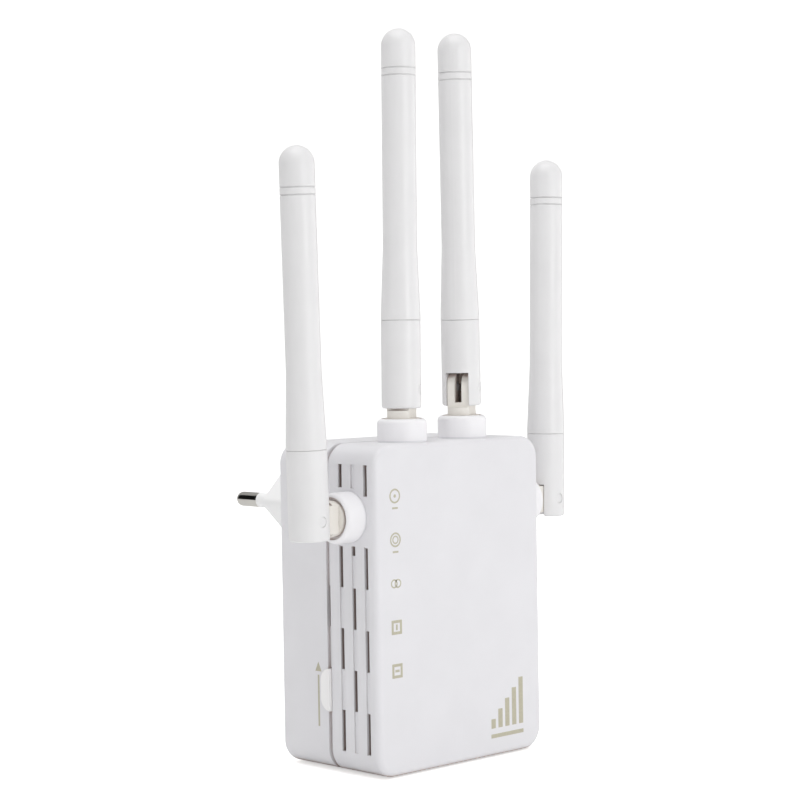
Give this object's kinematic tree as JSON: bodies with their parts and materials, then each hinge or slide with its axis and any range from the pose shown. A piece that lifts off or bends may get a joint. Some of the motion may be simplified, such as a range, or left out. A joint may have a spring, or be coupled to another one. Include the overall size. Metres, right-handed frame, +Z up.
{
  "type": "wifi range extender",
  "caption": "Wall-plug wifi range extender: white rectangular box with side vents, round-pin mains plug behind, side button, network ports below and jointed antennas that swivel and fold.",
  "frame": {"origin": "midway between the two plug pins, on the end face of the plug block", "axes": "+Z up along the standing antennas, -Y the front face with the indicators, +Y out along the plug pins into the socket, +X to the right of someone facing the front"},
  "size_m": [0.1172, 0.0924, 0.2223],
  "materials": {
    "shell_white": "fine satin moulding",
    "plug_white": "smooth moulding",
    "label_paper": "satin film",
    "antenna_white": "smooth satin moulding",
    "neck_white": "slightly warm nylon",
    "steel": "zinc-plated",
    "nickel": "polished nickel plating",
    "brass": "bright",
    "board_green": "solder mask",
    "black_plastic": "moulded",
    "capacitor_sleeve": "printed film, unmarked",
    "winding_tape": "polyester tape",
    "fuse_green": "moulded",
    "connector_white": "moulded",
    "wire_red": "extruded",
    "cable_grey": "extruded",
    "thermal_pad": "soft",
    "aluminium": "extruded",
    "led": "clear lens over phosphor",
    "clear_plastic": "clear acrylic",
    "jack_plastic": "moulded"
  },
  "bodies": {
    "housing": {"front_shell": "shell_white", "rear_shell": "shell_white", "rating_label": "label_paper", "housing_screws": "steel", "plug_block": "plug_white", "plug_pins": "nickel", "plug_sleeves": "plug_white", "contact_springs": "brass", "power_board": "board_green", "transformer_core": "black_plastic", "transformer_coil": "winding_tape", "bulk_capacitors": "capacitor_sleeve", "output_capacitors": "capacitor_sleeve", "mains_fuse": "fuse_green", "choke": "black_plastic", "power_chips": "black_plastic", "dc_connectors": "connector_white", "dc_wires": "wire_red", "main_board": "board_green", "main_chips": "black_plastic", "shield_can": "steel", "thermal_pad": "thermal_pad", "heat_sink": "aluminium", "coax_sockets": "brass", "leds": "led", "light_guide": "clear_plastic", "lan_jack": "jack_plastic", "wan_jack": "jack_plastic", "jack_contacts": "brass", "board_screws": "steel", "tact_switch": "steel", "pigtail_left": "cable_grey", "pigtail_top_left": "cable_grey", "pigtail_top_right": "cable_grey", "pigtail_right": "cable_grey"},
    "button": {"wps_button": "shell_white", "switch_plunger": "black_plastic"},
    "neck_left": {"knuckle_left": "neck_white"},
    "antenna_left": {"hinge_pins_left": "steel", "sleeve_left": "antenna_white", "tube_left": "antenna_white", "radiator_left": "brass"},
    "neck_top_left": {"knuckle_top_left": "neck_white"},
    "antenna_top_left": {"hinge_pins_top_left": "steel", "sleeve_top_left": "antenna_white", "tube_top_left": "antenna_white", "radiator_top_left": "brass"},
    "neck_top_right": {"knuckle_top_right": "neck_white"},
    "antenna_top_right": {"hinge_pins_top_right": "steel", "sleeve_top_right": "antenna_white", "tube_top_right": "antenna_white", "radiator_top_right": "brass"},
    "neck_right": {"knuckle_right": "neck_white"},
    "antenna_right": {"hinge_pins_right": "steel", "sleeve_right": "antenna_white", "tube_right": "antenna_white", "radiator_right": "brass"}
  },
  "joints": [
    {"name": "button_press", "type": "slide", "parent": "housing", "child": "button", "axis": [1, 0, 0], "range_m": [0, 0.0004], "stiffness_N_per_m": 600},
    {"name": "swivel_left", "type": "hinge", "parent": "housing", "child": "neck_left", "pos_m": [-0.0511, -0.06205, 0], "axis": [-1, 0, 0], "range_deg": [-90, 90]},
    {"name": "fold_left", "type": "hinge", "parent": "neck_left", "child": "antenna_left", "pos_m": [-0.0511, -0.06205, 0], "axis": [0, 1, 0], "range_deg": [-88.7, 1.3]},
    {"name": "swivel_top_left", "type": "hinge", "parent": "housing", "child": "neck_top_left", "pos_m": [-0.01295, -0.06205, 0.037], "axis": [0, 0, 1], "range_deg": [-90, 90]},
    {"name": "fold_top_left", "type": "hinge", "parent": "neck_top_left", "child": "antenna_top_left", "pos_m": [-0.01295, -0.06205, 0.037], "axis": [-0.4848, 0.8746, 0], "range_deg": [-1.3, 88.7]},
    {"name": "swivel_top_right", "type": "hinge", "parent": "housing", "child": "neck_top_right", "pos_m": [0.01295, -0.06205, 0.037], "axis": [0, 0, 1], "range_deg": [-90, 90]},
    {"name": "fold_top_right", "type": "hinge", "parent": "neck_top_right", "child": "antenna_top_right", "pos_m": [0.01295, -0.06205, 0.037], "axis": [0.4848, -0.8746, 0], "range_deg": [-1.3, 88.7]},
    {"name": "swivel_right", "type": "hinge", "parent": "housing", "child": "neck_right", "pos_m": [0.0511, -0.06205, 0], "axis": [1, 0, 0], "range_deg": [-90, 90]},
    {"name": "fold_right", "type": "hinge", "parent": "neck_right", "child": "antenna_right", "pos_m": [0.0511, -0.06205, 0], "axis": [0, -1, 0], "range_deg": [-88.7, 1.3]}
  ]
}
